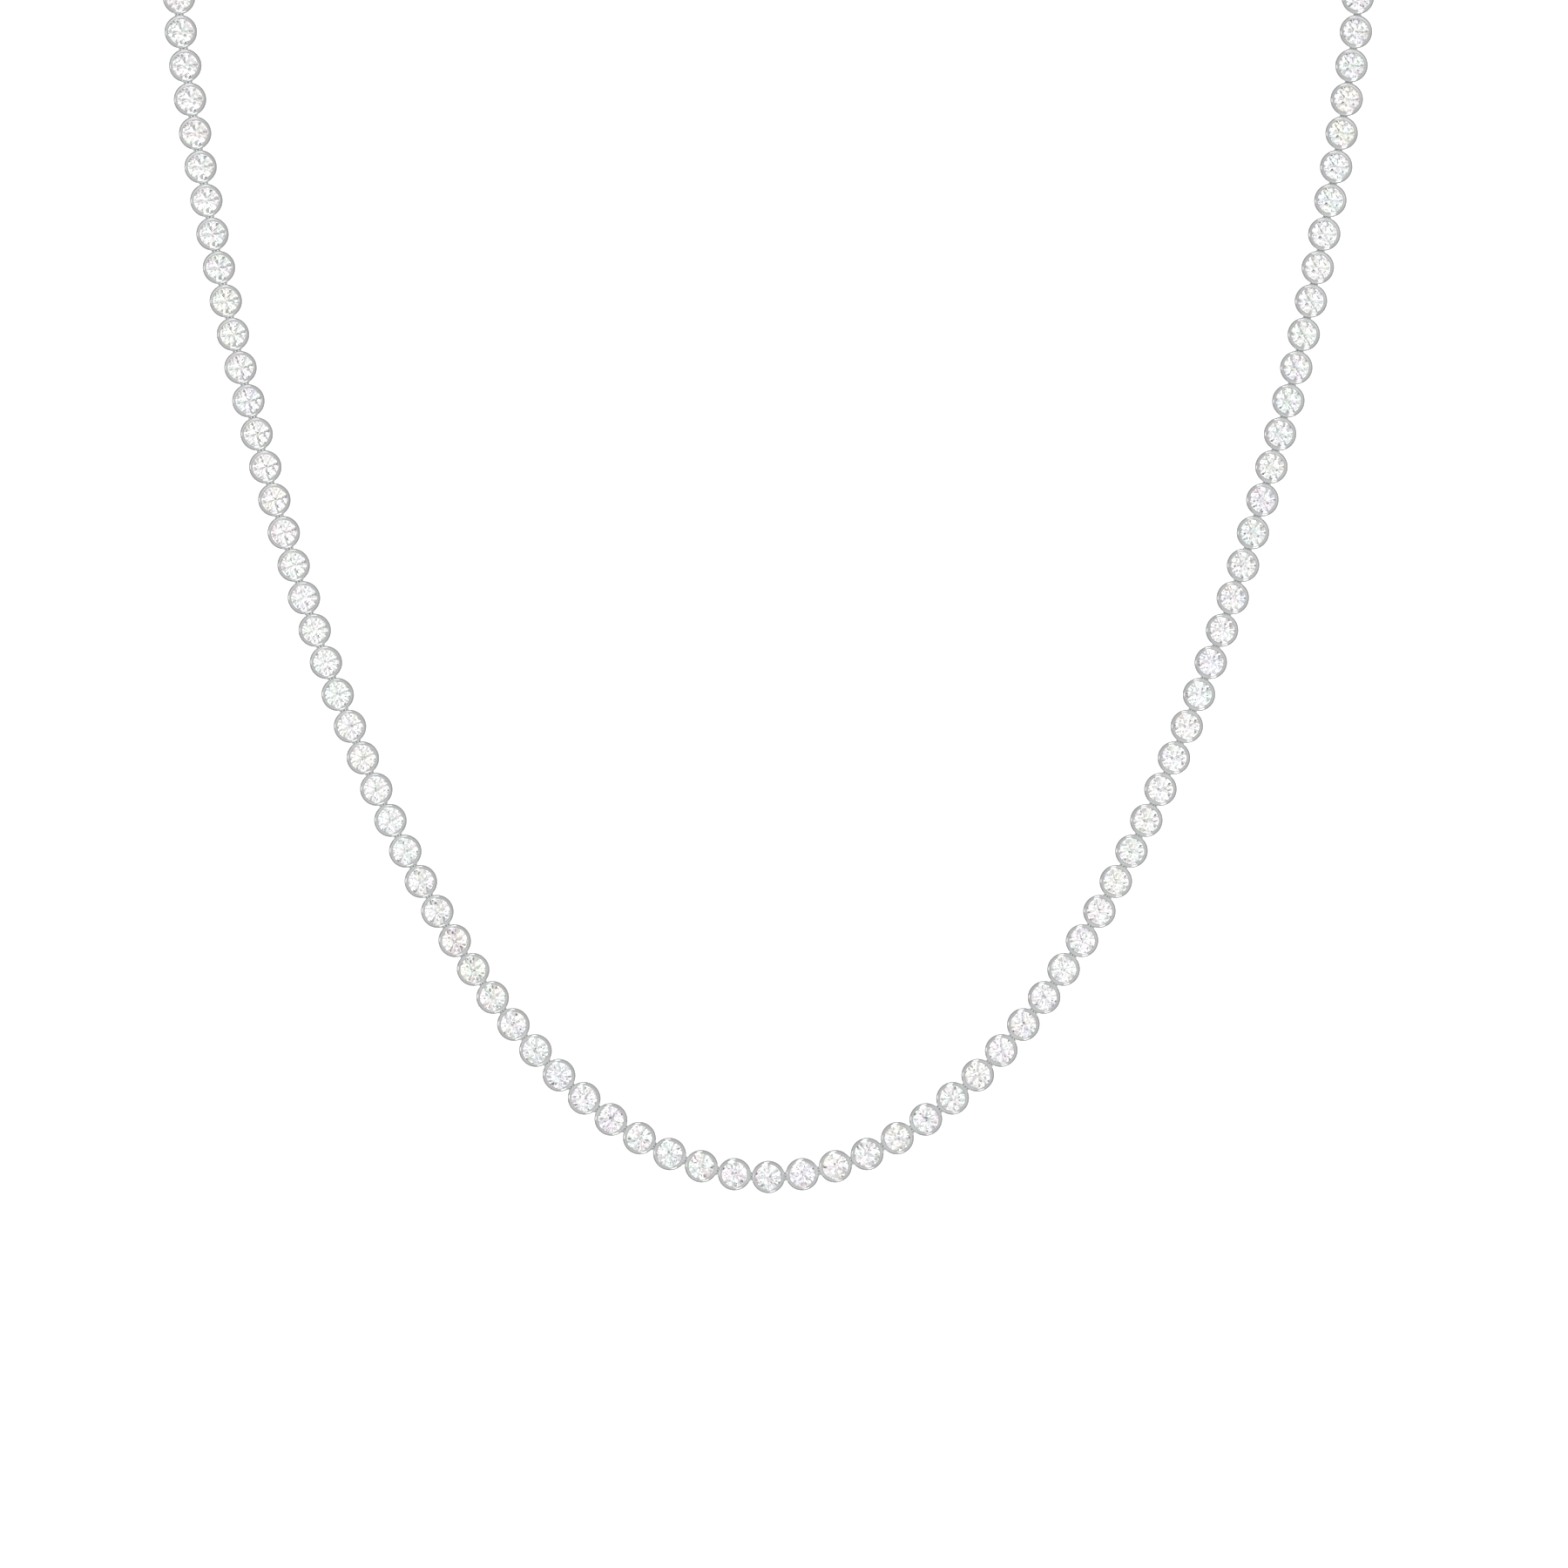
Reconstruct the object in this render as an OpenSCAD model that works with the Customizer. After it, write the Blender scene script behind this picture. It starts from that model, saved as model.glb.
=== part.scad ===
// Riviere necklace: a closed row of equal round stones in rub-over cups.
// Each cup has two wire eyes on its back, at right angles to each other,
// and each eye is threaded through the eye of the next cup.
// The loop keeps the form that it has on a neck. The front hangs in one
// plane that leans back like a chest, and the back climbs over the
// shoulders and turns round the nape, where a plain box clasp closes it.
// Places are counted from the lowest stone, 0, up to the last one on each side.

/* [Loop] */
// Length of the closed loop along the eyes that join the cups
loop_length = 457.2; // [450:0.2:466]
// Number of stones, an odd number so that one hangs lowest
stone_count = 123; // [119:2:123]
// Length of the clasp between its two eyes, counted in cups
clasp_links = 3; // [2.9:0.1:3.2]
// Distance from the nape to the middle of the neck, where the origin is
neck_radius = 55; // [45:1:60]

/* [Front strand] */
// Cups on each side of the lowest one that hang in the front plane
front_links = 40; // [39:1:42]
// Quick part of the turn, from level at the lowest stone (degrees)
quick_turn = 61.2; // [59:0.1:63]
// Number of cups in which most of the quick turn is made
quick_reach = 6.37; // [6:0.01:6.8]
// Slow part of the turn (degrees for each cup)
slow_turn = 0.543; // [0.52:0.001:0.57]
// Lean of the front plane back from upright (degrees)
chest_lean = 30; // [20:1:35]

/* [Back strand] */
// Lean of the row at the nape, past upright and over to the back (degrees)
nape_lean = 135; // [110:5:140]

/* [Setting] */
// Gap between the cups of neighbouring stones
cup_gap = 0.12; // [0.1:0.01:0.2]
// Width of the metal band seen round each stone
band_width = 0.41; // [0.4:0.01:0.46]
// Height of the rim's ridge above the middle of the stone's girdle
rim_height = 0.48; // [0.47:0.01:0.52]
// Depth of the cup behind the middle of the stone's girdle
cup_depth = 1.55; // [1.53:0.01:1.7]
// Outer radius of the cup at its back
back_radius = 0.9; // [0.88:0.01:0.96]
// Radius of the light hole in the back of the cup
light_hole_radius = 0.62; // [0.5:0.01:0.64]

/* [Stone] */
// Radius of the stone at its girdle
stone_radius = 1.45; // [1.42:0.01:1.46]
// Thickness of the girdle
girdle_thickness = 0.09; // [0.06:0.01:0.1]
// Height of the crown above the girdle
crown_height = 0.38; // [0.34:0.01:0.4]
// Depth of the pavilion below the girdle
pavilion_depth = 1.25; // [1.15:0.01:1.3]
// Width of the table as a share of the stone
table_share = 0.57; // [0.53:0.01:0.6]
// Reach of the star facets towards the girdle, as a share of the crown
star_share = 0.55; // [0.5:0.01:0.6]
// Reach of the lower halves towards the point, as a share of the pavilion
lower_half_share = 0.75; // [0.7:0.01:0.8]

/* [Link] */
// Thickness of the wire of an eye
wire_diameter = 0.26; // [0.22:0.01:0.26]
// Radius of the round end of an eye, at the middle of its wire
eye_radius = 0.4; // [0.4:0.01:0.42]
// Distance of the eyes behind the middle of the girdle
eye_level = 1; // [0.98:0.01:1.02]
// Depth to which an eye's wire is let into the cup
wire_bite = 0.2; // [0.15:0.01:0.22]

/* [Clasp] */
// Length of the clasp's box
clasp_length = 9.6; // [8:0.1:9.8]
// Width of the clasp's box
clasp_width = 3.2; // [2.8:0.1:3.6]
// Height of the clasp's box above the middle of the girdles beside it
clasp_rise = 0.3; // [0.2:0.05:0.4]
// Width of the groove where the clasp opens
clasp_groove = 0.25; // [0.2:0.05:0.4]

/* [Hidden] */

last_place = (stone_count - 1) / 2;
back_links = last_place + 1 - front_links;
pitch = loop_length / (stone_count + clasp_links);

cup_radius = (pitch - cup_gap) / 2;
cup_facets = 48;
wire_facets = 16;
link_middle = pitch / 2;
eye_overlap = eye_radius / 2;
wire_radius = wire_diameter / 2;

rim_opening = cup_radius - band_width;
rim_fall = 0.165;
lip_thickness = 0.045;
wall_round = 0.04;
bevel_run = band_width / 2 - wall_round;
cone_start = 0.15;
stone_clearance = 0.11;
girdle_slack = 0.06;
girdle_room = stone_radius + stone_clearance;
seat_room = 0.15;

clasp_reach = clasp_links * pitch / 2;
clasp_floor = 1.62;
clasp_chamfer = 0.15;
groove_depth = 0.15;

girdle_top = girdle_thickness / 2;
table_level = girdle_top + crown_height;
table_radius = table_share * stone_radius;
half_facet = 360 / 16;

// The slope of a cup of the front strand, k places away from the lowest one
function front_slope(k) = quick_turn * (1 - exp(-k / quick_reach)) + slow_turn * k;

// How far along the back strand the cup at place k lies, from 0 to 1 at the clasp
function back_share(k) = max((k - front_links) / back_links, 0);

// The slope of any cup in its own leaning plane, for a given quickness of the back's turn
function slope(k, quickness) =
    k < front_links
    ? front_slope(k)
    : 180 - (180 - front_slope(front_links)) * pow(1 - back_share(k), quickness);

// How far from the middle the row ends when it has gone round to the clasp, in cups
function side_error(quickness, k = 1) =
    k > last_place
    ? (1 - clasp_links) / 2
    : cos(slope(k, quickness)) + side_error(quickness, k + 1);

// The quickness with which the back has to turn so that both sides meet the clasp
function closing_quickness(low, high, tries) =
    tries == 0
    ? (low + high) / 2
    : side_error((low + high) / 2) > 0
    ? closing_quickness((low + high) / 2, high, tries - 1)
    : closing_quickness(low, (low + high) / 2, tries - 1);

back_quickness = closing_quickness(low = 1, high = 6, tries = 30);

// The lean of the row's plane, which turns over smoothly on the way round to the nape
function lean(k) =
    let (t = back_share(k))
    chest_lean + (nape_lean - chest_lean) * t * t * (3 - 2 * t);

// The direction of the row through the cup at place k, on the right-hand side
function along(k) =
    let (a = slope(k, back_quickness), b = lean(k))
    [cos(a), sin(a) * sin(b), sin(a) * cos(b)];

// The way that the table of its stone faces
function facing(k) = [0, -cos(lean(k)), sin(lean(k))];

// Each cup is one rigid link of the row, half a pitch to its eye on either side.
// These are the points midway between the eyes, on the right-hand side from the lowest cup up.
function next_place(p, k) = p + pitch / 2 * (along(k) + along(k + 1));
right_places = [for (k = 0, p = [0, 0, 0]; k <= last_place; p = next_place(p, k), k = k + 1) p];

// The middle of the clasp, which lies behind the neck
nape = next_place(right_places[last_place], last_place) + [(1 - clasp_links) * pitch / 2, 0, 0];
nape_facing = [0, -cos(nape_lean), sin(nape_lean)];
neck_middle = nape - [0, neck_radius, 0];

// The left-hand side is the right-hand side seen in a mirror, followed the same way round
function place_of(k) = let (p = right_places[abs(k)]) k < 0 ? [-p.x, p.y, p.z] : p;
function along_of(k) = let (t = along(abs(k))) k < 0 ? [t.x, -t.y, -t.z] : t;
function facing_of(k) = facing(abs(k));

// Stands its children on a point of the row: x along it, z the way that the stone faces,
// and the middle of the stone's girdle in front of the eyes
module stand_at(eye_point, along, facing) {
    across = cross(facing, along);
    place = eye_point + eye_level * facing;
    multmatrix([
        [along.x, across.x, facing.x, place.x],
        [along.y, across.y, facing.y, place.y],
        [along.z, across.z, facing.z, place.z],
        [0, 0, 0, 1]
    ])
        children();
}

// Repeats its children at every stone from one place to another
module at_stones(first, last) {
    translate(-neck_middle)
        for (k = [first : last])
            stand_at(place_of(k), along_of(k), facing_of(k))
                children();
}

// The radius of the cup's outside at a depth behind the girdle
function cone_radius(depth) =
    cup_radius + (back_radius - cup_radius) * (depth - cone_start) / (cup_depth - cone_start);

// Half of the cup, cut along its axis: light hole, tapered back, wall, bevelled rim with
// a bright-cut slope inside its ridge, thin lip over the stone's edge, and the stone's seat
module cup_section() {
    seat_depth = girdle_top + seat_room
        + pavilion_depth * (stone_radius - light_hole_radius) / stone_radius;
    polygon([
        [light_hole_radius, -cup_depth],
        [back_radius, -cup_depth],
        [cup_radius, -cone_start],
        [cup_radius, rim_height - bevel_run - 2 * wall_round],
        [cup_radius - wall_round, rim_height - bevel_run],
        [cup_radius - band_width / 2, rim_height],
        [rim_opening, rim_height - rim_fall],
        [rim_opening, rim_height - rim_fall - lip_thickness],
        [girdle_room, girdle_top + girdle_slack],
        [girdle_room, -girdle_top - girdle_slack],
        [light_hole_radius, -seat_depth]
    ]);
}

module cup() {
    rotate_extrude($fn = cup_facets)
        cup_section();
}

// One leg of an eye, from its round end back into the metal whose surface is at face_x
module eye_leg(side, face_x, round_x) {
    translate([round_x, side * eye_radius, 0])
        rotate([0, -90, 0])
            cylinder(h = round_x - face_x + wire_bite, r = wire_radius, $fn = wire_facets);
}

// A wire eye that lies flat and points along x, on metal with these faces at its two legs
module eye(face_left, face_right, round_x) {
    eye_leg(1, face_left, round_x);
    eye_leg(-1, face_right, round_x);
    translate([round_x, 0, 0])
        rotate([0, 0, -90])
            rotate_extrude(angle = 180, $fn = cup_facets)
                translate([eye_radius, 0])
                    circle(r = wire_radius, $fn = wire_facets);
}

// The eye ahead of a stone lies in the plane of the row
module flat_eye(face, round_x) {
    translate([0, 0, -eye_level])
        eye(face, face, round_x);
}

// The eye behind a stone stands on edge, so that the next flat eye can pass through it
module upright_eye(front_face, back_face, round_x) {
    translate([0, 0, -eye_level])
        rotate([0, 0, 180])
            rotate([90, 0, 0])
                eye(front_face, back_face, round_x);
}

module setting() {
    round_x = link_middle - eye_overlap;
    cup();
    flat_eye(sqrt(pow(cone_radius(eye_level), 2) - pow(eye_radius, 2)), round_x);
    upright_eye(cone_radius(eye_level - eye_radius), cone_radius(eye_level + eye_radius), round_x);
}

// A ring of points round the stone's axis
function stone_ring(count, radius, level, turn = 0) =
    [for (j = [0 : count - 1]) [
        radius * cos(turn + j * 360 / count),
        radius * sin(turn + j * 360 / count),
        level
    ]];

// A round brilliant: table, 8 stars, 8 kites and 16 halves above, 16 halves and 8 mains below
module stone() {
    table_flat = table_radius * cos(half_facet);
    star_radius = table_flat + star_share * (stone_radius - table_flat);
    star_level = table_level - crown_height
        * (star_radius * cos(half_facet) - table_radius) / (stone_radius - table_radius);
    pit_radius = stone_radius * (1 - lower_half_share);
    pit_level = -girdle_top - pavilion_depth * (1 - pit_radius * cos(half_facet) / stone_radius);
    points = concat(
        stone_ring(8, table_radius, table_level),
        stone_ring(8, star_radius, star_level, half_facet),
        stone_ring(16, stone_radius, girdle_top),
        stone_ring(16, stone_radius, -girdle_top),
        stone_ring(8, pit_radius, pit_level, half_facet),
        [[0, 0, -girdle_top - pavilion_depth]]
    );
    star = 8;
    upper = 16;
    lower = 32;
    pit = 48;
    point = 56;
    faces = [
        [7, 6, 5, 4, 3, 2, 1, 0],
        for (j = [0 : 7])
            let (
                next = (j + 1) % 8,
                before = (j + 7) % 8,
                middle = 2 * j,
                half = 2 * j + 1,
                far = (2 * j + 2) % 16
            )
            each [
                [j, next, star + j],
                [j, star + j, upper + middle, star + before],
                [star + j, upper + half, upper + middle],
                [star + j, upper + far, upper + half],
                [upper + middle, upper + half, lower + half, lower + middle],
                [upper + half, upper + far, lower + far, lower + half],
                [lower + middle, lower + half, pit + j],
                [lower + half, lower + far, pit + j],
                [lower + middle, pit + j, point, pit + before]
            ]
    ];
    polyhedron(points, faces);
}

// A plain box clasp, closed: its box and its tongue's plate, with a narrower waist between
// them that leaves a groove all round where the tongue goes in
module clasp_box() {
    plate = (clasp_length - clasp_groove) / 2;
    height = clasp_rise + clasp_floor;
    translate([0, 0, (clasp_rise - clasp_floor) / 2]) {
        cube([2 * clasp_groove, clasp_width - 2 * groove_depth, height - 2 * groove_depth], center = true);
        for (side = [-1, 1])
            translate([side * (plate + clasp_groove) / 2, 0, 0])
                clasp_plate(plate, height);
    }
}

// One half of the clasp, with chamfered edges along its length
module clasp_plate(length, height) {
    rotate([90, 0, 90])
        linear_extrude(length, center = true)
            polygon([
                for (x = [-1, 1])
                    each [
                        [x * (clasp_width / 2 - clasp_chamfer), x * height / 2],
                        [x * clasp_width / 2, x * (height / 2 - clasp_chamfer)],
                        [x * clasp_width / 2, -x * (height / 2 - clasp_chamfer)],
                        [x * (clasp_width / 2 - clasp_chamfer), -x * height / 2]
                    ]
            ]);
}

module settings_left() {
    color("gainsboro")
        at_stones(-last_place, -1)
            setting();
}

module settings_right() {
    color("gainsboro")
        at_stones(0, last_place)
            setting();
}

module stones_left() {
    color("aliceblue")
        at_stones(-last_place, -1)
            stone();
}

module stones_right() {
    color("aliceblue")
        at_stones(0, last_place)
            stone();
}

module clasp() {
    round_x = clasp_reach - eye_overlap;
    face = clasp_length / 2;
    color("gainsboro")
        translate(-neck_middle)
            stand_at(nape, [-1, 0, 0], nape_facing) {
                clasp_box();
                flat_eye(face, round_x);
                upright_eye(face, face, round_x);
            }
}

settings_left();
settings_right();
stones_left();
stones_right();
clasp();
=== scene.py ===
# %% [markdown]
# # A riviere necklace
# A riviere is one unbroken river of equal stones. Each round stone sits in its
# own little cup of white metal, and each cup is hooked to the next by two wire
# eyes. The solids come from a imported frame, so this file only has to dress
# them: finer metal, real-looking stones, soft light and a camera.
# The frame is loaded first, and its box is kept to set the floor below it.

# %% Load the frame
import bpy
import bmesh
import numpy as np
from math import asin, cos, degrees, pi, radians, sin
from mathutils import Matrix, Vector


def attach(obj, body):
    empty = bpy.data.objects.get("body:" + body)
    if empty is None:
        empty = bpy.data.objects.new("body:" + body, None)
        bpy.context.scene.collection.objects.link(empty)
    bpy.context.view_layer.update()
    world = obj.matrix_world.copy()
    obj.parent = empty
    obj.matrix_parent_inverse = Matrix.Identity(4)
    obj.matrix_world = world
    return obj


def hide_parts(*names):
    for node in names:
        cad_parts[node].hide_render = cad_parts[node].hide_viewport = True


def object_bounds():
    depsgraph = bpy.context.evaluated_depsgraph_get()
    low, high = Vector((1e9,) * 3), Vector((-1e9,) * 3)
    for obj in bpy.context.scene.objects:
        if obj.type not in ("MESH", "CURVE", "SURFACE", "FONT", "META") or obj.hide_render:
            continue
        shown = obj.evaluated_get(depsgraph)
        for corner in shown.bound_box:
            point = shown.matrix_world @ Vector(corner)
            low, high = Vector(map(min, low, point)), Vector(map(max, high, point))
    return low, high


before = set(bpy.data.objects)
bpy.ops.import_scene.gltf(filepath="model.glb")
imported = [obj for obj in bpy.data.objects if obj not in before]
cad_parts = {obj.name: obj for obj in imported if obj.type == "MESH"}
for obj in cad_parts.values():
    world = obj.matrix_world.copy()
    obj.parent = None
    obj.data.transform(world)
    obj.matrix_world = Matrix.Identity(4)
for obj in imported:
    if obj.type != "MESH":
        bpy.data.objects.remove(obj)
cad_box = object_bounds()
print("solids in the frame:", sorted(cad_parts))

# %% [markdown]
# ## Find every stone
# The cups have to hold the stones exactly. Their places could be worked out a
# second time from the drawing, but the stones themselves already say where the
# cups go. A stone is a separate shell in its mesh. Corners at the same place
# are merged, and then the lowest corner number spreads over every triangle
# until each shell carries a single number.

# %% Split a mesh into its separate shells
# Corners that are closer than this, in metres, count as one
MERGE = 2e-6
SIDES = ("left", "right")


def shells_of(mesh):
    """The corner points of each separate shell of a mesh."""
    points = np.empty(len(mesh.vertices) * 3)
    mesh.vertices.foreach_get("co", points)
    mesh.calc_loop_triangles()
    corners = np.empty(len(mesh.loop_triangles) * 3, dtype=int)
    mesh.loop_triangles.foreach_get("vertices", corners)
    steps = np.round(points.reshape(-1, 3) / MERGE).astype(np.int64)
    place, same = np.unique(steps, axis=0, return_inverse=True)
    triangles = same.reshape(-1)[corners].reshape(-1, 3)
    label = np.arange(len(place))
    while True:
        lowest = label[triangles].min(axis=1)
        spread = label.copy()
        for corner in range(3):
            np.minimum.at(spread, triangles[:, corner], lowest)
        if (spread == label).all():
            break
        label = spread
    return [place[label == number] * MERGE for number in np.unique(label)]


stone_points = {side: shells_of(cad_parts["stones_" + side].data) for side in SIDES}
print("stones found:", {side: len(found) for side, found in stone_points.items()})

# %% [markdown]
# ## Read where each stone sits
# A brilliant is flatter than it is wide, so the direction in which its corners
# spread least is the way it faces. Its point lies farther from the middle than
# its table does, which settles front from back. The corners farthest from that
# axis are the girdle, and their mean is the middle of the stone.

# %% Measure one stone
GIRDLE_CORNERS = 32
TABLE_CORNERS = 8


def sit_of(points):
    """Girdle middle, facing direction and table corners of one stone."""
    middle = points.mean(axis=0)
    directions = np.linalg.eigh(np.cov((points - middle).T))[1]
    facing = directions[:, 0]
    heights = (points - middle) @ facing
    if -heights.min() < heights.max():
        facing = -facing
        heights = -heights
    reach = np.linalg.norm(points - middle - heights[:, None] * facing, axis=1)
    girdle = points[np.argsort(reach)[-GIRDLE_CORNERS:]]
    table = points[np.argsort(heights)[-TABLE_CORNERS:]]
    return girdle.mean(axis=0), facing, table


stones = {side: [sit_of(points) for points in stone_points[side]] for side in SIDES}
girdle_radius = np.linalg.norm(stone_points["right"][0] - stones["right"][0][0], axis=1).max()
print("girdle radius, mm:", round(girdle_radius * 1000, 3))

# %% [markdown]
# ## Thread the stones in order
# The shells of a mesh come in any order, but a row has a first and a last
# stone. It is followed from its lowest stone, always on to the nearest stone
# that hasn't been passed yet, up each side to the nape.

# %% Follow the row
def follow(start, left_over):
    """The stones of one side, in the order in which they are threaded."""
    order = []
    here = start
    left_over = list(left_over)
    while left_over:
        gaps = [np.linalg.norm(stone[0] - here) for stone in left_over]
        stone = left_over.pop(int(np.argmin(gaps)))
        order.append(stone)
        here = stone[0]
    return order


lowest = min(stones["right"], key=lambda stone: stone[0][2])
right_row = follow(lowest[0], stones["right"])
left_row = follow(lowest[0], stones["left"])
row = left_row[::-1] + right_row
middle_place = len(left_row)
print("stones in the row:", len(row), "lowest at, mm:", np.round(lowest[0] * 1000, 2))

# %% [markdown]
# ## Give each cup its own place and directions
# A cup needs three directions: along the row, across it, and the way the stone
# faces. The stones were cut with a table corner pointing along the row, so the
# table corner nearest to the line between the two neighbours gives it exactly.

# %% Work out the cups' directions
def places_of(row):
    """For each stone: the girdle's middle and the directions along, across and facing."""
    places = []
    for k, (middle, facing, table) in enumerate(row):
        before = row[max(k - 1, 0)][0]
        after = row[min(k + 1, len(row) - 1)][0]
        chord = after - before
        arms = table - middle
        arms = arms - (arms @ facing)[:, None] * facing
        along = arms[np.argmax(arms @ chord)]
        along = along / np.linalg.norm(along)
        across = np.cross(facing, along)
        places.append((middle, along, across, facing))
    return places


cup_places = places_of(row)
steps = [np.linalg.norm(b[0] - a[0]) for a, b in zip(cup_places, cup_places[1:])]
print("step from stone to stone, mm:", round(min(steps) * 1000, 3), "to", round(max(steps) * 1000, 3))

# %% [markdown]
# ## Set up the camera
# A product picture of a necklace looks square on at the front strand, which
# hangs in one plane. That plane leans back like a chest, so the camera stands
# in front and a little above, along the way the lowest stone faces. The size
# of a pixel comes from two stones that are far apart in the picture, which
# makes it more exact than the width of a single stone would.

# %% Place the camera
# Places in the picture, in pixels: its side, the line that the row is mirrored
# at, the lowest stone's middle, and the span between the two stones that are
# FAR_STEPS up from it on both sides
PICTURE = 1800
MIRROR_X = 882.05
LOWEST_Y = 1351.1
FAR_STEPS = 38
FAR_SPAN = 1327.7
# How far the lens stands from the row, in metres, and its sensor, in millimetres
CAMERA_AWAY = 1.05
SENSOR = 36


def stand_at(place, x_way, y_way, z_way):
    """The matrix of a thing that stands at a place, with its axes along these directions."""
    return Matrix.Translation(place) @ Matrix((x_way, y_way, z_way)).transposed().to_4x4()


front = Vector(cup_places[middle_place][3])
right = Vector((1, 0, 0))
up = front.cross(right)
pixel = np.linalg.norm(right_row[FAR_STEPS][0] - left_row[FAR_STEPS - 1][0]) / FAR_SPAN
centre = Vector(lowest[0])
centre += right * ((PICTURE / 2 - MIRROR_X) * pixel)
centre += up * ((LOWEST_Y - PICTURE / 2) * pixel)

camera = bpy.data.objects.new("camera", bpy.data.cameras.new("camera"))
camera.data.sensor_width = SENSOR
camera.data.lens = SENSOR * CAMERA_AWAY / (PICTURE * pixel)
camera.matrix_world = stand_at(centre + front * CAMERA_AWAY, right, up, front)
bpy.context.scene.collection.objects.link(camera)
bpy.context.scene.camera = camera
print("pixel, mm:", round(pixel * 1000, 5), "lens, mm:", round(camera.data.lens, 1))
print("front tips up by, degrees:", round(degrees(asin(front.z)), 1))

# %% [markdown]
# ## Start the tent
# White metal has no colour of its own: it shows whatever stands around it, so a
# jeweller photographs it in a white tent. The tent could be a real dome of
# cloth with lamps outside, but that takes long to render and stays grainy. Here
# it is the world's own shader, which only asks how far a direction is from the
# lens. Directions belong to the room, so the tent stands still when the camera
# walks round. Two helpers come first, because every finish needs them.

# %% Start the tent
def feed(tree, node, sockets):
    """Give each of a node's sockets a fixed value, or the output of another node."""
    for name, value in sockets.items():
        if isinstance(value, bpy.types.NodeSocket):
            tree.links.new(value, node.inputs[name])
        else:
            node.inputs[name].default_value = value


def add_node(tree, kind, sockets, **settings):
    """A new shader node, with its settings made and its sockets fed."""
    node = tree.nodes.new("ShaderNode" + kind)
    for name, value in settings.items():
        setattr(node, name, value)
    feed(tree, node, sockets)
    return node


tent = bpy.data.worlds.new("white tent")
tent.use_nodes = True
tent_tree = tent.node_tree
tent_tree.nodes.clear()
direction = add_node(tent_tree, "TexCoord", {}).outputs["Generated"]
compare = add_node(tent_tree, "VectorMath", {0: direction, 1: front}, operation="DOT_PRODUCT")
towards_lens = compare.outputs["Value"]
print("the tent faces:", [round(v, 3) for v in front])

# %% [markdown]
# ## Shade the tent's walls
# The table is read like a light meter that turns from the lens to the back. Up
# to 60 degrees stand the light and dark parts that the stones pick up. From 66
# to 108 degrees the wall is grey: that is where the rims look, and it draws
# them as soft grey rings. Behind the necklace come a light and a dark panel,
# which give the backs of the cups their shape.

# %% Shade the tent's walls
# Degrees from the lens, and how white the tent is there
TENT = [
    (0, 0.93), (8, 0.92), (13, 0.92), (20, 1.09), (30, 1.32), (36, 0.82), (46, 0.80),
    (52, 1.22), (60, 1.22), (66, 0.64), (78, 0.64), (86, 0.51), (96, 0.45), (108, 0.45),
    (122, 0.90), (136, 0.90), (146, 0.40), (156, 0.40), (168, 0.95),
]


def grey(white):
    """A neutral colour of this whiteness."""
    return (white, white, white, 1)


share = add_node(tent_tree, "MapRange", {"Value": towards_lens, "From Min": -1})
walls = add_node(tent_tree, "ValToRGB", {"Fac": share.outputs["Result"]})
stops = walls.color_ramp.elements
stops.remove(stops[1])
stops[0].position = 0.0
stops[0].color = grey(TENT[-1][1])
for off_lens, white in TENT:
    stops.new((1 + cos(radians(off_lens))) / 2).color = grey(white)
print("stops in the tent's walls:", len(stops))

# %% [markdown]
# ## Fold the cloth
# Cloth hangs in folds, and a stone gathers them from all over the tent into
# small light and dark flecks. Real folds could be modelled, but only their light
# counts, so a noise over the directions makes them. Only the stones should show
# them: they fade out between 50 and 60 degrees from the lens, before the part
# of the tent that the rims mirror.

# %% Fold the cloth
# How fine the folds are, and how far apart their lightest and darkest parts
FOLDS = 16
FOLD_DEPTH = 1.7
# The noise seldom leaves this range, so the folds are stretched over it
NOISE_LOW = 0.3
NOISE_HIGH = 0.7
# Which of the noise's endless patterns is taken
CLOTH = 2.1
# Degrees from the lens up to which the cloth is folded, and from which it is bare
FOLDED_TO = 50
BARE_FROM = 60

cloth = add_node(
    tent_tree, "TexNoise",
    {"Vector": direction, "W": CLOTH, "Scale": FOLDS, "Detail": 1},
    noise_dimensions="4D",
)
near = add_node(tent_tree, "MapRange", {
    "Value": towards_lens,
    "From Min": cos(radians(BARE_FROM)),
    "From Max": cos(radians(FOLDED_TO)),
})
folds = add_node(tent_tree, "MapRange", {
    "Value": cloth.outputs["Fac"],
    "From Min": NOISE_LOW,
    "From Max": NOISE_HIGH,
    "To Min": -FOLD_DEPTH / 2,
    "To Max": FOLD_DEPTH / 2,
})
depth = add_node(
    tent_tree, "Math",
    {0: folds.outputs["Result"], 1: near.outputs["Result"], 2: 1},
    operation="MULTIPLY_ADD",
)
print("cloth folded up to, degrees:", FOLDED_TO, "bare from:", BARE_FROM)

# %% [markdown]
# ## Tint the cloth
# A brilliant's fire is white light split into faint colours. The same noise, in
# colour, tints the tent where it is folded, and the stones pick that up. Soft
# light mixes it in without changing how light or dark the wall is on the whole.

# %% Tint the cloth
# How much of the tints shows, and how much richer they are than the noise's own
TINT = 0.75
RICHER = 2

tints = add_node(tent_tree, "HueSaturation", {"Color": cloth.outputs["Color"], "Saturation": RICHER})
amount = add_node(tent_tree, "Math", {0: near.outputs["Result"], 1: TINT}, operation="MULTIPLY")
tinted = add_node(
    tent_tree, "Mix",
    {"Factor": amount.outputs["Value"], "A": walls.outputs["Color"], "B": tints.outputs["Color"]},
    data_type="RGBA", blend_type="SOFT_LIGHT",
)
print("share of the tints:", TINT)

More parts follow.
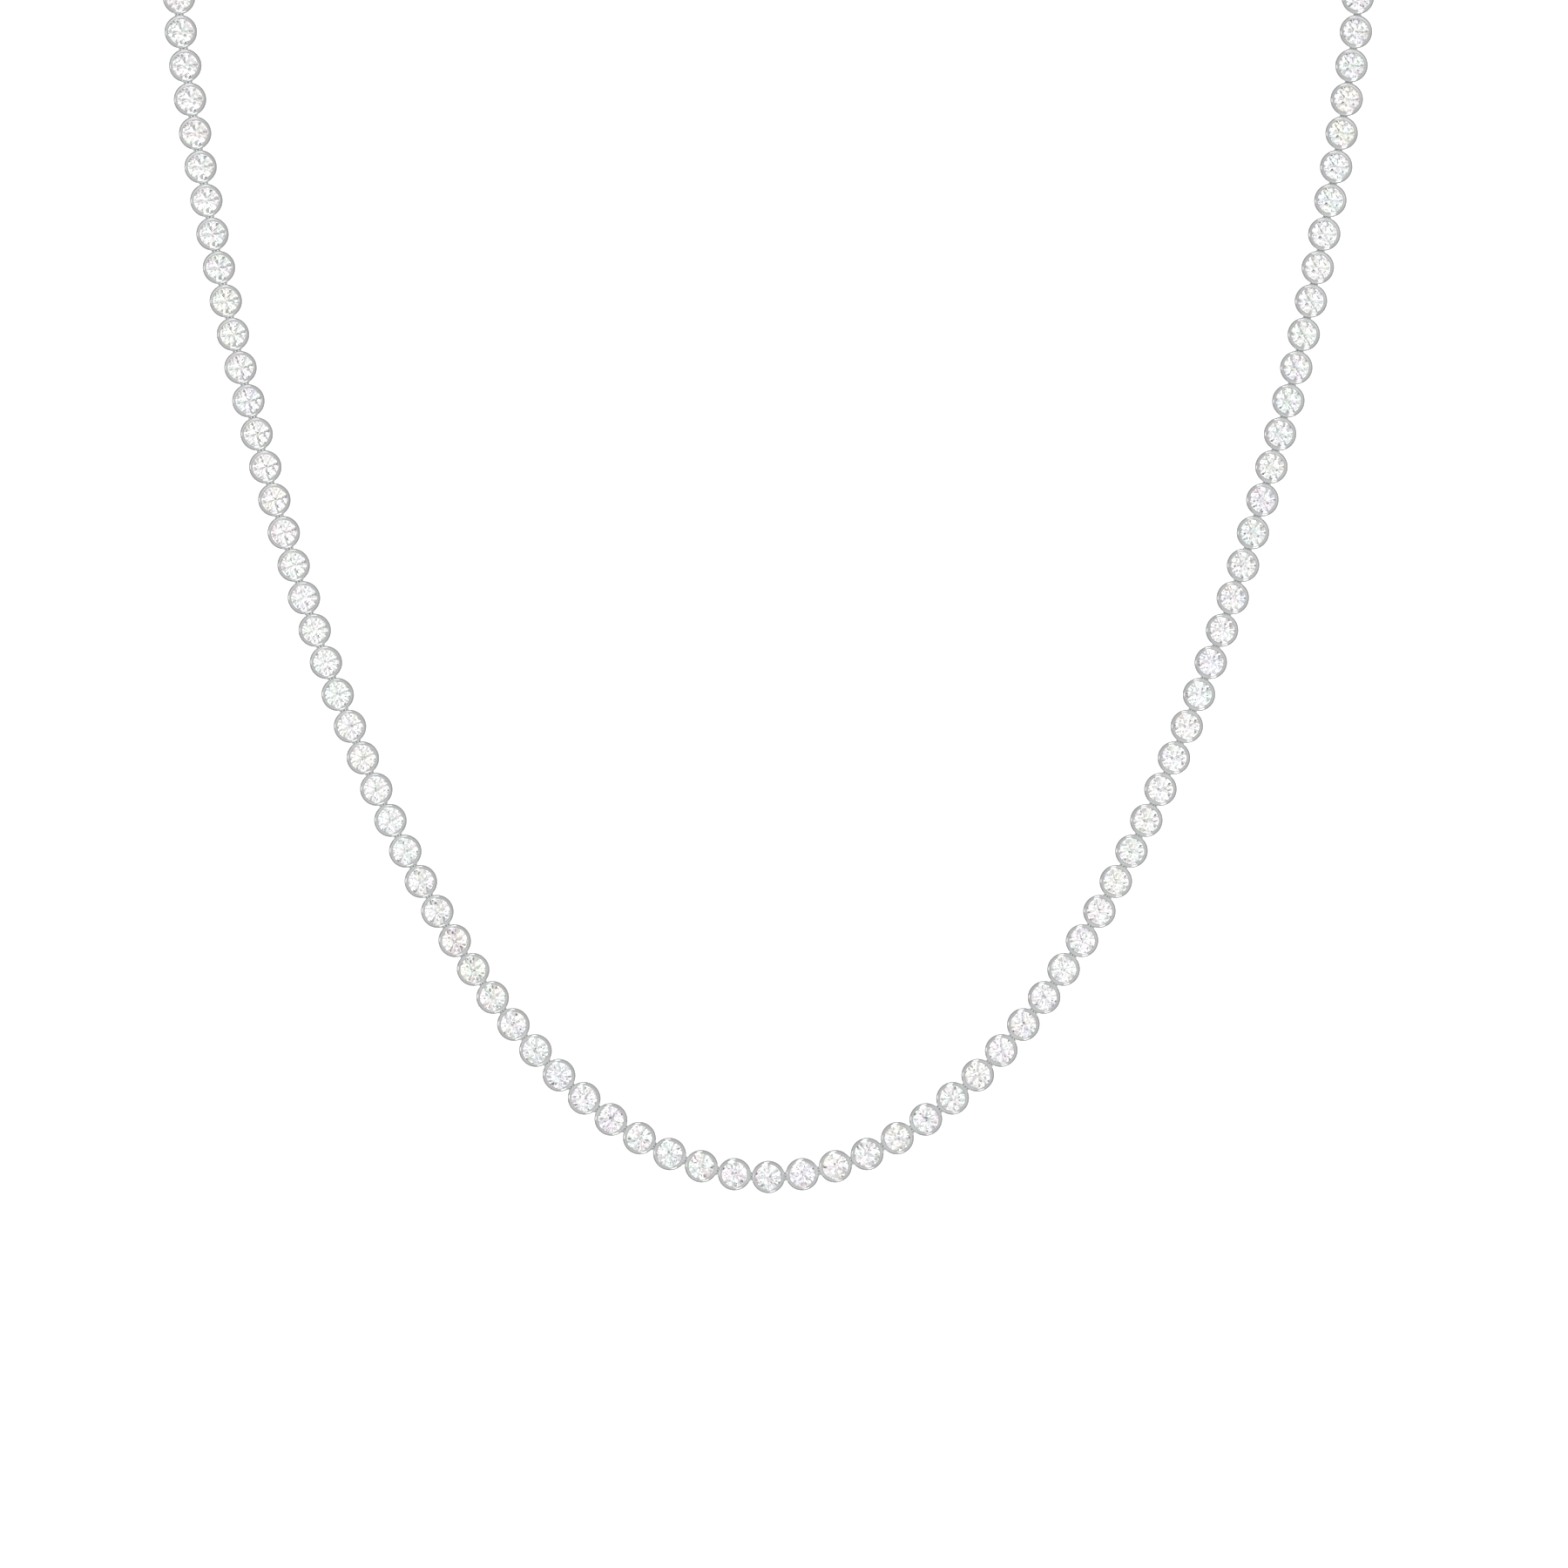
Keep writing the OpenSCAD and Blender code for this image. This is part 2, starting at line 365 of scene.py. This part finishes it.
# %% [markdown]
# ## Show the tent to the necklace alone
# The picture's ground is pure white, and folds or panels on it would spoil it.
# A light path node tells the camera's own rays from all others: those see plain
# white, while metal and stones see the tent. The plain Standard view transform
# keeps that white at full white.

# %% Show the tent to the necklace alone
shown = add_node(tent_tree, "Background", {
    "Color": tinted.outputs["Result"],
    "Strength": depth.outputs["Value"],
})
plain = add_node(tent_tree, "Background", {"Color": grey(1)})
path = add_node(tent_tree, "LightPath", {})
either = add_node(tent_tree, "MixShader", {
    "Fac": path.outputs["Is Camera Ray"],
    1: shown.outputs["Background"],
    2: plain.outputs["Background"],
})
add_node(tent_tree, "OutputWorld", {"Surface": either.outputs["Shader"]})

scene = bpy.context.scene
scene.world = tent
scene.view_settings.view_transform = "Standard"
print("world:", scene.world.name, "nodes:", len(tent_tree.nodes))

# %% [markdown]
# ## Add the soft boxes
# Three soft boxes stand nearly level with the necklace: one above, a dimmer one
# below and a small one on the left. A bevelled rim shows each box twice, on the
# outer bevel near the box and on the inner slope at the far side. Small bright
# lamps would do too, but they burn out to white, and a rim with white gaps looks
# broken on a white ground. So the boxes are large and just short of pure white.

# %% Hang the soft boxes
# How far the boxes stand from the row, in metres
LIGHT_AWAY = 1.6
# Clock angle and angle from the lens in degrees, width and height in metres, power in watts
SOFT_BOXES = {
    "key soft box": (97, 84, 0.6, 0.8, 1.45),
    "low soft box": (285, 82, 0.6, 0.6, 1.6),
    "left soft box": (178, 86, 0.4, 0.5, 0.62),
}


def hang_soft_box(name, clock_degrees, off_lens, width, height, power):
    """A soft box round the view axis: 90 degrees is straight up, 180 to the left."""
    outward = right * cos(radians(clock_degrees)) + up * sin(radians(clock_degrees))
    towards = front * cos(radians(off_lens)) + outward * sin(radians(off_lens))
    across = front.cross(outward).normalized()
    light = bpy.data.objects.new(name, bpy.data.lights.new(name, "AREA"))
    light.data.shape = "RECTANGLE"
    light.data.size = width
    light.data.size_y = height
    light.data.energy = power
    light.matrix_world = stand_at(centre + towards * LIGHT_AWAY, across, towards.cross(across), towards)
    light.visible_camera = False
    scene.collection.objects.link(light)
    return light


for name, box in SOFT_BOXES.items():
    light = hang_soft_box(name, *box)
    print(light.name, "at, m:", [round(v, 2) for v in light.location])

# %% [markdown]
# ## Lay the pale floor
# The ground is a pure white sheet, lit from within like a light table, so it
# holds no shadow. It lies well below the necklace, which hangs as on a neck,
# and ends just in front of it, so that the low soft box shines past its edge.
# Glossy rays pass it by, because its edge would show as a line in every rim.

# %% Make the light table
# In metres: how far it lies below the row, and where its edges run
FLOOR_DROP = 0.08
FLOOR_HALF_WIDTH = 0.9
FLOOR_FRONT = -0.06
FLOOR_BACK = 1.8


def start_material(name):
    """A new material with its node tree and its shader."""
    material = bpy.data.materials.new(name)
    material.use_nodes = True
    tree = material.node_tree
    return material, tree, tree.nodes["Principled BSDF"]


def lit_white():
    """A matt white sheet that glows a little."""
    material, tree, shader = start_material("lit white")
    feed(tree, shader, {
        "Base Color": grey(0.9),
        "Roughness": 0.9,
        "Emission Color": grey(1),
        "Emission Strength": 0.6,
    })
    return material


floor_z = cad_box[0].z - FLOOR_DROP
floor_corners = [
    (-FLOOR_HALF_WIDTH, FLOOR_FRONT, floor_z), (FLOOR_HALF_WIDTH, FLOOR_FRONT, floor_z),
    (FLOOR_HALF_WIDTH, FLOOR_BACK, floor_z), (-FLOOR_HALF_WIDTH, FLOOR_BACK, floor_z),
]
floor_mesh = bpy.data.meshes.new("floor")
floor_mesh.from_pydata(floor_corners, [], [(0, 1, 2, 3)])
floor_mesh.materials.append(lit_white())
floor = bpy.data.objects.new("floor", floor_mesh)
scene.collection.objects.link(floor)
floor.visible_glossy = False
print("floor height, mm:", round(floor_z * 1000, 1))

# %% [markdown]
# ## Draw the cup's section
# A rub-over cup is turned metal: a tapered back with a light hole, a straight
# wall, and a rim pushed over the edge of the stone. The rim has a bevel on the
# outside and a bright-cut slope on the inside, which meet in a soft ridge. Its
# lip is rubbed down onto the stone's crown, because an open gap would draw a
# dark line round every stone. The section is drawn once, from the light hole
# round to the stone's seat. Each pair of numbers is a radius and a height, in
# millimetres from the middle of the girdle.

# %% The section of a cup
MM = 0.001
LIGHT_HOLE_AND_BACK = [(0.62, -1.50), (0.65, -1.55), (0.86, -1.55), (0.905, -1.53)]
WALL = [(1.728, -0.18), (1.747, -0.12), (1.747, 0.18), (1.742, 0.235)]
BEVEL_AND_RIDGE = [(1.716, 0.302), (1.561, 0.465), (1.549, 0.473), (1.537, 0.466)]
LIP = [(1.346, 0.317), (1.344, 0.160), (1.352, 0.142)]
SEAT = [(1.56, 0.105), (1.56, -0.105), (0.62, -0.91)]
CUP_SECTION = LIGHT_HOLE_AND_BACK + WALL + BEVEL_AND_RIDGE + LIP + SEAT
print("points in the section:", len(CUP_SECTION))

# %% [markdown]
# ## Spin the cup
# A lathe turns the section once round the way the stone faces. A screw modifier
# would do the same for one cup, but this cup is going to be repeated over a
# hundred times, so the helper returns plain points and faces.

# %% Spin the cup
CUP_SEGMENTS = 56


def next_round(count):
    """The numbers below count, each with the one after it, and the last with the first."""
    return list(zip(range(count), [*range(1, count), 0]))


def spin(section, segments):
    """Points and faces of a closed section spun round the facing axis."""
    turn = np.arange(segments) * 2 * pi / segments
    section = np.array(section)
    count = len(section)
    points = np.stack([
        section[:, 0] * np.cos(turn)[:, None],
        section[:, 0] * np.sin(turn)[:, None],
        np.broadcast_to(section[:, 1], (segments, count)),
    ], axis=-1).reshape(-1, 3)
    faces = [
        (a * count + p, b * count + p, b * count + q, a * count + q)
        for a, b in next_round(segments)
        for p, q in next_round(count)
    ]
    return points, faces


cup_points, cup_faces = spin(CUP_SECTION, CUP_SEGMENTS)
print("faces in the turned cup:", len(cup_faces))

# %% [markdown]
# ## Swell the rim along the row
# In the real row the rims nearly touch, while the solids keep a clear gap so
# that they stay separate. The rim is pushed out by a hair along the row, fully
# at its outer edge and hardly at the ridge, and the back of the cup stays round.

# %% Swell the rim
RIM_SWELL = 0.02
# Radii where the swell starts and where it is full, and the height it stays above
SWELL_FROM = 1.5
SWELL_FULL = 1.75
SWELL_ABOVE = -0.2


def push_out(points):
    """The rim pushed out along the row, so that it nearly meets the rims beside it."""
    from_axis = np.hypot(points[:, 0], points[:, 1])
    share = np.clip((from_axis - SWELL_FROM) / (SWELL_FULL - SWELL_FROM), 0, 1)
    share = share * (points[:, 2] > SWELL_ABOVE)
    points[:, 0] *= 1 + RIM_SWELL * share
    return points


cup_points = push_out(cup_points)
print("cup along the row, mm:", round(float(np.ptp(cup_points[:, 0])), 3))

# %% [markdown]
# ## Draw the wire
# The eyes are round wire. The helper does what a jeweller does with a drawplate
# and a pair of pliers: it sweeps a circle along a path that lies in one plane. A
# curve with a bevel could do it too, but plain points and faces join those of
# the cup at once.

# %% Draw the wire
WIRE_RADIUS = 0.127
WIRE_SIDES = 10


def bend_wire(path, normal):
    """Points and faces of a round wire along a flat path; normal is square to the path's plane."""
    path = np.array(path)
    run = np.gradient(path, axis=0)
    run = run / np.linalg.norm(run, axis=1)[:, None]
    normal = np.array(normal, dtype=float)
    out = np.cross(run, normal)
    turn = (np.arange(WIRE_SIDES) * 2 * pi / WIRE_SIDES)[None, :, None]
    ring = np.cos(turn) * out[:, None] + np.sin(turn) * normal
    points = (path[:, None] + WIRE_RADIUS * ring).reshape(-1, 3)
    faces = [
        (i * WIRE_SIDES + a, i * WIRE_SIDES + b, (i + 1) * WIRE_SIDES + b, (i + 1) * WIRE_SIDES + a)
        for i in range(len(path) - 1)
        for a, b in next_round(WIRE_SIDES)
    ]
    return points, faces


print("wire thickness, mm:", 2 * WIRE_RADIUS)

# %% [markdown]
# ## Bend the two eyes
# Every cup has two eyes on its back. The one ahead lies flat and the one behind
# stands on edge, so each is threaded through the other like links of a chain,
# and the row can bend both ways. Each is a U, and its bend lies about half a
# pitch from the middle of the cup, where the next cup's eye comes through it.

# %% Bend the two eyes
# The row's length and the number of cups that would fill it, clasp included
ROW_LENGTH = 457.2
PITCHES = 126
PITCH = ROW_LENGTH / PITCHES
EYE_RADIUS = 0.4
EYE_LEVEL = -1.0
BEND_POINTS = 11
# Where the legs start, inside the metal of the cup: both of the flat eye, and
# the upper and the lower one of the upright eye
FLAT_START = 0.95
UPPER_START = 1.2
LOWER_START = 0.8


def eye_path(round_x, first_x, second_x):
    """A U of wire that points along x: one leg, the round end, the other leg."""
    arc = np.linspace(pi / 2, -pi / 2, BEND_POINTS)
    bend = [(round_x + EYE_RADIUS * cos(a), EYE_RADIUS * sin(a)) for a in arc]
    return [(first_x, EYE_RADIUS), *bend, (second_x, -EYE_RADIUS)]


def eyes(round_x, flat_x, upper_x, lower_x):
    """The flat eye ahead and the upright eye behind, with legs that start at these distances."""
    flat = [(x, y, EYE_LEVEL) for x, y in eye_path(round_x, flat_x, flat_x)]
    upright = [(-x, 0, EYE_LEVEL + y) for x, y in eye_path(round_x, upper_x, lower_x)]
    return [bend_wire(flat, (0, 0, 1)), bend_wire(upright, (0, 1, 0))]


cup_eyes = eyes(PITCH / 2 - EYE_RADIUS / 2, FLAT_START, UPPER_START, LOWER_START)
print("faces in each eye:", [len(faces) for points, faces in cup_eyes])

# %% [markdown]
# ## Solder one cup together
# On the real cup the eyes are soldered to the back. Here the three parts become
# one list of points and one list of faces, with the corner numbers of each part
# counted on from the part before. The legs of the eyes end inside the metal, so
# no join shows.

# %% Solder one cup together
def join(parts):
    """Several lots of points and faces as one."""
    points = []
    faces = []
    count = 0
    for some_points, some_faces in parts:
        points.append(some_points)
        faces += [tuple(corner + count for corner in face) for face in some_faces]
        count += len(some_points)
    return np.vstack(points), faces


one_cup = join([(cup_points, cup_faces), *cup_eyes])
print("faces in one cup:", len(one_cup[1]))

# %% [markdown]
# ## Polished white metal
# Rhodium-plated silver is bright and nearly neutral. A mirror finish is never
# perfect: polishing leaves hair-fine scratches and a soft haze that varies from
# place to place. One noise drives the roughness and the tone, and a much finer
# one tilts the surface by a hair. What is the same all over, such as how
# metallic it is, sits on the shader itself.

# %% The metal's finish
HAZE_PER_METRE = 700
SCRATCHES_PER_METRE = 9000
# The roughness goes from the one to the other
GLOSSIEST = 0.08
HAZIEST = 0.2
# Where in the haze the darker and the lighter tone lie, and their colours
TONES = [(0.3, (0.715, 0.72, 0.722, 1)), (0.7, (0.780, 0.786, 0.788, 1))]
SCRATCH_STRENGTH = 0.05
SCRATCH_DEPTH = 0.00001


def white_metal():
    """Polished white metal with a little haze and hair-fine scratches."""
    material, tree, shader = start_material("polished white metal")
    place = add_node(tree, "TexCoord", {}).outputs["Object"]
    haze = add_node(tree, "TexNoise", {"Vector": place, "Scale": HAZE_PER_METRE, "Detail": 3})
    gloss = add_node(tree, "MapRange", {
        "Value": haze.outputs["Fac"],
        "To Min": GLOSSIEST,
        "To Max": HAZIEST,
    })
    tone = add_node(tree, "ValToRGB", {"Fac": haze.outputs["Fac"]})
    for k, (position, colour) in enumerate(TONES):
        tone.color_ramp.elements[k].position = position
        tone.color_ramp.elements[k].color = colour
    scratches = add_node(tree, "TexNoise", {"Vector": place, "Scale": SCRATCHES_PER_METRE, "Detail": 2})
    bump = add_node(tree, "Bump", {
        "Height": scratches.outputs["Fac"],
        "Strength": SCRATCH_STRENGTH,
        "Distance": SCRATCH_DEPTH,
    })
    feed(tree, shader, {
        "Metallic": 1.0,
        "Base Color": tone.outputs["Color"],
        "Roughness": gloss.outputs["Result"],
        "Normal": bump.outputs["Normal"],
    })
    return material


metal = white_metal()
print("metal ready:", metal.name)

# %% [markdown]
# ## Repeat the cup along the row
# All cups are alike, as in a real riviere, where they are cast or turned in one
# batch. An object for each cup would make a crowd of 123, so the points are laid
# out along each cup's own three directions with numpy, and one mesh holds a
# whole side. Weighted normals keep the broad faces flat and let only the narrow
# ones between them turn the light.

# %% Make both rows of cups
# Edges that turn by more than this stay sharp
SHARP_DEGREES = 50


def lay_out(part, places):
    """One part's points and faces, repeated in every one of these places."""
    points, faces = part
    spots = np.array([place[0] for place in places])
    ways = np.array([place[1:] for place in places])
    laid = spots[:, None] + np.einsum("pi,kij->kpj", points * MM, ways)
    corners = np.array(faces)[None] + (np.arange(len(places)) * len(points))[:, None, None]
    return laid.reshape(-1, 3), corners.reshape(-1, corners.shape[-1])


def dress(name, points, faces, material, slot, *nodes):
    """A mesh piece that rides on the body and stands for these solids of the frame."""
    mesh = bpy.data.meshes.new(name)
    mesh.from_pydata(points.tolist(), [], [list(face) for face in faces])
    mesh.polygons.foreach_set("use_smooth", [True] * len(mesh.polygons))
    mesh.set_sharp_from_angle(angle=radians(SHARP_DEGREES))
    mesh.materials.append(material)
    piece = bpy.data.objects.new(name, mesh)
    scene.collection.objects.link(piece)
    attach(piece, "root")
    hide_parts(*nodes)
    soften = piece.modifiers.new("weighted normals", "WEIGHTED_NORMAL")
    soften.keep_sharp = True
    return piece


for side, places in zip(SIDES, (cup_places[:middle_place], cup_places[middle_place:])):
    points, faces = lay_out(one_cup, places)
    cups = dress("cups_" + side, points, faces, metal, "white_metal", "settings_" + side)
    print(cups.name, "cups:", len(places), "faces:", len(cups.data.polygons))

# %% [markdown]
# ## The clasp
# Behind the neck a plain box clasp closes the loop: a tongue slides into a
# small box, and a fine groove shows where they meet. A cuboid with bevelled
# edges gives each half, and a slightly smaller one between them is the floor of
# the groove, which is simpler than cutting a groove into one block. Two eyes
# like those of a cup hold the ends of the row.

# %% Shape the clasp
CLASP_LENGTH = 9.6
CLASP_WIDTH = 3.2
CLASP_TOP = 0.3
CLASP_FLOOR = -1.62
CLASP_EDGE = 0.12
GROOVE = 0.25
GROOVE_DEPTH = 0.15
GROOVE_EDGE = 0.05
# How deep the legs of the eyes reach into the clasp's ends
LEGS_IN = 0.2
# From the clasp's middle to where its eye holds the next one
CLASP_REACH = 1.5 * PITCH


def soft_block(x_low, x_high, half_width, low, high, edge):
    """A cuboid with softened edges."""
    block = bmesh.new()
    bmesh.ops.create_cube(block, size=1)
    for point in block.verts:
        point.co.x = x_high if point.co.x > 0 else x_low
        point.co.y = half_width if point.co.y > 0 else -half_width
        point.co.z = high if point.co.z > 0 else low
    bmesh.ops.bevel(block, geom=block.edges[:], offset=edge, segments=3, profile=0.5, affect="EDGES")
    block.verts.index_update()
    points = np.array([v.co[:] for v in block.verts])
    faces = [tuple(v.index for v in f.verts) for f in block.faces]
    block.free()
    return points, faces


half = CLASP_LENGTH / 2
wide = CLASP_WIDTH / 2
legs = half - LEGS_IN
box_half = soft_block(-half, -GROOVE / 2, wide, CLASP_FLOOR, CLASP_TOP, CLASP_EDGE)
tongue_half = soft_block(GROOVE / 2, half, wide, CLASP_FLOOR, CLASP_TOP, CLASP_EDGE)
groove_floor = soft_block(
    -GROOVE, GROOVE, wide - GROOVE_DEPTH,
    CLASP_FLOOR + GROOVE_DEPTH, CLASP_TOP - GROOVE_DEPTH, GROOVE_EDGE,
)
clasp_eyes = eyes(CLASP_REACH - EYE_RADIUS / 2, legs, legs, legs)
clasp_points, clasp_faces = join([box_half, groove_floor, tongue_half, *clasp_eyes])
print("faces in the clasp:", len(clasp_faces))

# %% [markdown]
# ## Hang the clasp at the nape
# The last cups on both sides hold the clasp by its eyes, so its middle lies
# halfway between the places where their own eyes hold. The row lies flat on the
# nape there, rolled half over, and faces back and up.

# %% Hang the clasp at the nape
NAPE_DEGREES = 45


def hook_of(cup_place, way):
    """Where a cup's eye holds the next one."""
    middle, along, across, facing = cup_place
    return middle + (EYE_LEVEL * facing + way * PITCH / 2 * along) * MM


nape_facing = np.array([0, cos(radians(NAPE_DEGREES)), sin(radians(NAPE_DEGREES))])
nape_along = np.array([-1.0, 0, 0])
nape_ways = np.array([nape_along, np.cross(nape_facing, nape_along), nape_facing])
hooks = hook_of(cup_places[0], -1) + hook_of(cup_places[-1], 1)
nape = hooks / 2 - EYE_LEVEL * nape_facing * MM
laid = nape + (clasp_points * MM) @ nape_ways
clasp = dress("box_clasp", laid, clasp_faces, metal, "white_metal", "clasp")
print(clasp.name, "at, mm:", np.round(nape * 1000, 2))

# %% [markdown]
# ## Cut stones
# The stones in the frame already have every facet of a round brilliant, so they
# only need the right glass. Cubic zirconia bends light more than glass does,
# with an index of about 2.16, and that is what throws the light back out at the
# front. Real fire needs light split into its colours, which this renderer
# doesn't do, so the fire is painted into the stones' colour instead as the
# faintest pastel tints: every small cell of a pattern takes a hue and a strength of its own.

# %% The stones' glass and painted fire
ZIRCONIA_INDEX = 2.16
FLECKS_PER_METRE = 900
# The strongest tint of painted fire, from none at 0 to a pure colour at 1
PAINTED_FIRE = 0.14


def white_stone():
    """Clear zirconia, with a faint pastel fire painted into its colour as tints."""
    material, tree, shader = start_material("white zirconia")
    place = add_node(tree, "TexCoord", {}).outputs["Object"]
    fleck = add_node(tree, "TexVoronoi", {"Vector": place, "Scale": FLECKS_PER_METRE})
    chance = add_node(tree, "SeparateColor", {"Color": fleck.outputs["Color"]})
    strength = add_node(tree, "MapRange", {
        "Value": chance.outputs["Green"],
        "To Min": 0.0,
        "To Max": PAINTED_FIRE,
    })
    # Painted fire: coloured glints of split light, painted as tints into the stone's base colour
    # In its HSV mode the sockets red, green and blue take hue, strength and brightness
    fire = add_node(
        tree, "CombineColor",
        {"Red": chance.outputs["Red"], "Green": strength.outputs["Result"], "Blue": 1.0},
        mode="HSV",
    )
    feed(tree, shader, {
        "Transmission Weight": 1.0,
        "IOR": ZIRCONIA_INDEX,
        "Roughness": 0.0,
        "Base Color": fire.outputs["Color"],
    })
    return material


zirconia = white_stone()
for side in SIDES:
    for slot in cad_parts["stones_" + side].material_slots:
        slot.material = zirconia
print("stones finished:", zirconia.name)
